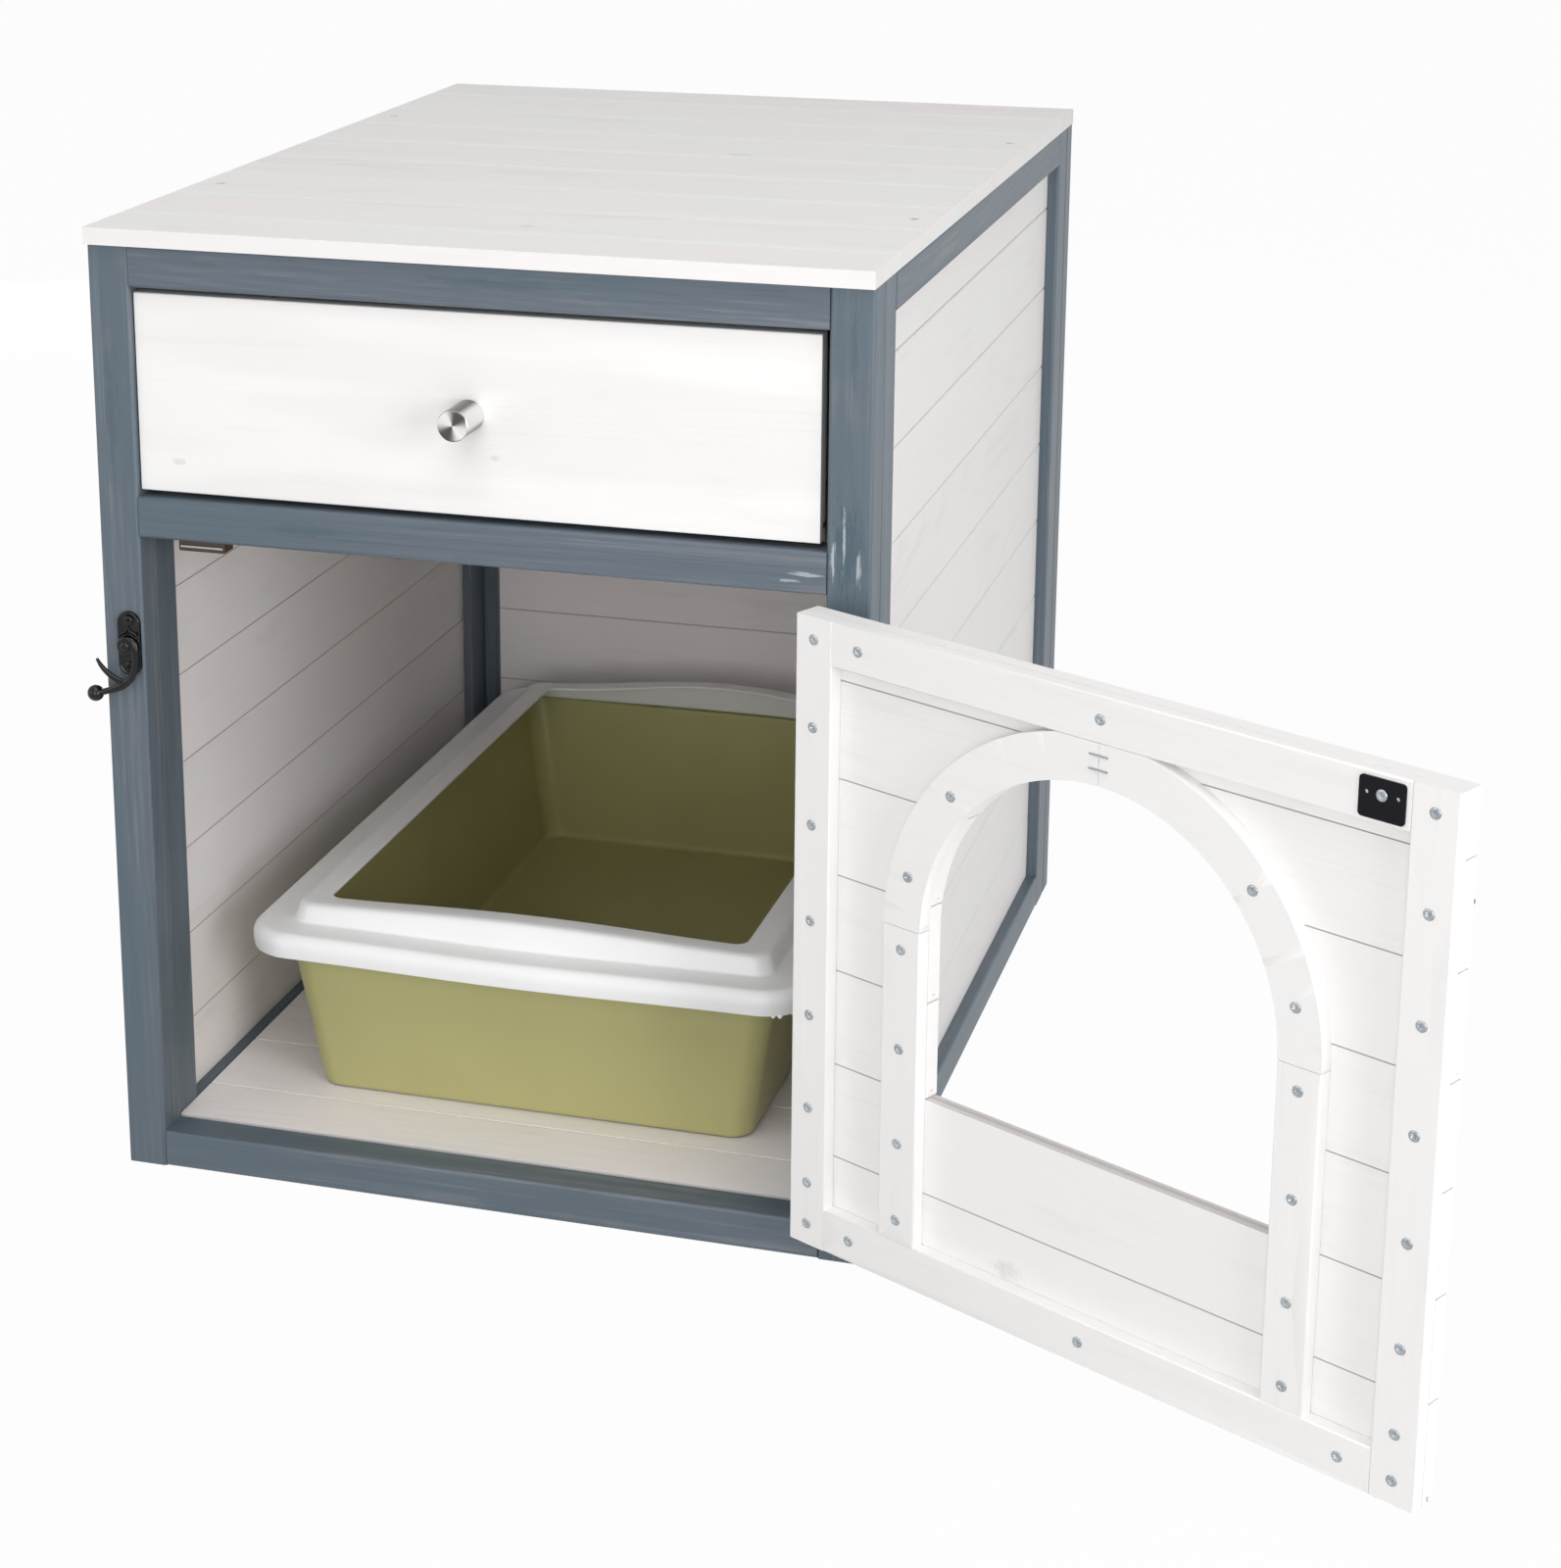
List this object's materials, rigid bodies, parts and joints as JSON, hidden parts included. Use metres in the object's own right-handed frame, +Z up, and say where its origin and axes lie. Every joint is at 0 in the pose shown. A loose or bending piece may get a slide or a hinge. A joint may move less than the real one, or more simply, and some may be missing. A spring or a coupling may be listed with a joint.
{
  "type": "cat litter box cabinet",
  "caption": "Wooden cabinet that hides a cat litter tray: framed board panels, a top drawer, and a hinged door with an arched way in for the cat.",
  "frame": {"origin": "centre of the cabinet's footprint, on the floor", "axes": "+X to the right seen from the front, +Y to the back, +Z up; the door side is -Y"},
  "size_m": [1.047, 1.0741, 0.759],
  "materials": {
    "stained_wood": "blue-grey stain, grain showing, eased edges",
    "whitewashed_boards": "thin white stain over pine",
    "whitewashed_door": "white stain over pine",
    "bare_pine": "planed pine, untreated",
    "zinc_steel": "zinc plated",
    "brushed_steel": "turned and brushed",
    "chrome": "polished plate",
    "black_metal": "black gloss paint on cast metal",
    "brown_plastic": "moulded",
    "olive_plastic": "moulded, glossy",
    "white_plastic": "moulded, satin gloss"
  },
  "bodies": {
    "cabinet": {"front_stile_left": "stained_wood", "front_stile_right": "stained_wood", "front_top_rail": "stained_wood", "front_mid_rail": "stained_wood", "front_bottom_rail": "stained_wood", "left_panel_front_stile": "stained_wood", "left_panel_rear_stile": "stained_wood", "left_panel_bottom_rail": "stained_wood", "left_panel_top_rail": "stained_wood", "right_panel_front_stile": "stained_wood", "right_panel_rear_stile": "stained_wood", "right_panel_bottom_rail": "stained_wood", "right_panel_top_rail": "stained_wood", "rear_panel_left_stile": "stained_wood", "rear_panel_right_stile": "stained_wood", "rear_panel_bottom_rail": "stained_wood", "rear_panel_top_rail": "stained_wood", "left_panel_boards": "whitewashed_boards", "right_panel_boards": "whitewashed_boards", "rear_panel_boards": "whitewashed_boards", "floor_boards": "whitewashed_boards", "shelf_boards": "whitewashed_boards", "top_boards": "whitewashed_boards", "floor_cleats": "bare_pine", "shelf_cleats": "bare_pine", "drawer_runners": "bare_pine", "top_screws": "zinc_steel", "catch_magnet_plates": "zinc_steel", "hinge_frame_leaves": "black_metal", "hinge_frame_screws": "black_metal", "hinge_pins": "black_metal", "latch_plate": "black_metal", "latch_screws": "black_metal", "catch_housing": "brown_plastic"},
    "door": {"door_boards": "whitewashed_door", "door_hinge_stile": "whitewashed_door", "door_free_stile": "whitewashed_door", "door_bottom_rail": "whitewashed_door", "door_top_rail": "whitewashed_door", "arch_hinge_leg": "whitewashed_door", "arch_hinge_half": "whitewashed_door", "arch_free_leg": "whitewashed_door", "arch_free_half": "whitewashed_door", "arch_staples": "zinc_steel", "door_screws": "zinc_steel", "strike_plate": "chrome", "strike_screw": "zinc_steel", "hinge_door_leaves": "black_metal", "hinge_door_screws": "black_metal", "latch_keeper": "black_metal"},
    "drawer": {"drawer_front": "whitewashed_door", "drawer_sides": "bare_pine", "drawer_back": "bare_pine", "drawer_bottom": "bare_pine", "drawer_knob": "brushed_steel", "knob_screw": "zinc_steel"},
    "latch": {"latch_arm": "black_metal"},
    "tray": {"tray_tub": "olive_plastic"},
    "tray_rim": {"tray_rim": "white_plastic"}
  },
  "joints": [
    {"name": "door_swing", "type": "hinge", "parent": "cabinet", "child": "door", "pos_m": [0.26515, -0.4054, 0], "axis": [0, 0, 1], "range_deg": [-152.7, 25]},
    {"name": "drawer_slide", "type": "slide", "parent": "cabinet", "child": "drawer", "axis": [0, -1, 0], "range_m": [0, 0.4]},
    {"name": "latch_swing", "type": "hinge", "parent": "cabinet", "child": "latch", "pos_m": [-0.2788, -0.408, 0.437], "axis": [0, -1, 0], "range_deg": [-264, 45]},
    {"name": "tray_slide", "type": "slide", "parent": "cabinet", "child": "tray", "axis": [0, -1, 0], "range_m": [0, 0.7]},
    {"name": "rim_lift", "type": "slide", "parent": "tray", "child": "tray_rim", "axis": [0, 0, 1], "range_m": [0, 0.06]}
  ]
}
